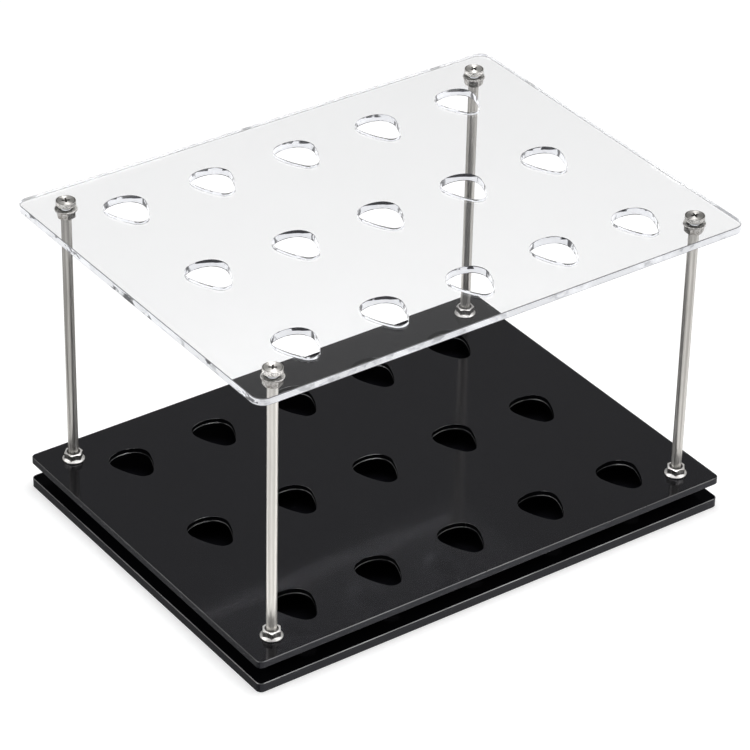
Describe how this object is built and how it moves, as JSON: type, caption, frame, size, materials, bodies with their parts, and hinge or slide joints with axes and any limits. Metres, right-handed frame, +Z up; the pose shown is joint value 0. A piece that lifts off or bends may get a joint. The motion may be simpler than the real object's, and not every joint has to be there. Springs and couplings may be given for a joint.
{
  "type": "golf club display rack",
  "caption": "Free-standing golf club rack: black layered base, steel rod posts and a clear top plate, with matching rows of grip-shaped holes.",
  "frame": {"origin": "centre of the underside of the lower base plate, on the surface the rack stands on", "axes": "+X along the long side, -Y the front with the holes' narrow ends, +Z up"},
  "size_m": [0.431, 0.324, 0.2572],
  "materials": {
    "clear_acrylic": "clear cast acrylic sheet, polished faces and edges",
    "black_acrylic": "black acrylic sheet, glossy with a faint blur in its reflections",
    "post_steel": "drawn stainless rod, polished along its length",
    "fastener_steel": "nickel-plated steel, bright, with turned faces",
    "spacer_nylon": "black nylon sleeve, out of sight between the base plates",
    "zinc_screw": "zinc-plated countersunk screw under the base"
  },
  "bodies": {
    "root": {"base_screw_back_left": "zinc_screw", "base_screw_back_right": "zinc_screw", "base_screw_front_left": "zinc_screw", "base_screw_front_right": "zinc_screw", "clear_top_plate": "clear_acrylic", "lower_base_plate": "black_acrylic", "lower_flange_nut_back_left": "fastener_steel", "lower_flange_nut_back_right": "fastener_steel", "lower_flange_nut_front_left": "fastener_steel", "lower_flange_nut_front_right": "fastener_steel", "post_back_left": "post_steel", "post_back_right": "post_steel", "post_front_left": "post_steel", "post_front_right": "post_steel", "spacer_back_left": "spacer_nylon", "spacer_back_right": "spacer_nylon", "spacer_front_left": "spacer_nylon", "spacer_front_right": "spacer_nylon", "thumb_screw_back_left": "fastener_steel", "thumb_screw_back_right": "fastener_steel", "thumb_screw_front_left": "fastener_steel", "thumb_screw_front_right": "fastener_steel", "upper_base_plate": "black_acrylic", "upper_flange_nut_back_left": "fastener_steel", "upper_flange_nut_back_right": "fastener_steel", "upper_flange_nut_front_left": "fastener_steel", "upper_flange_nut_front_right": "fastener_steel"}
  },
  "joints": []
}
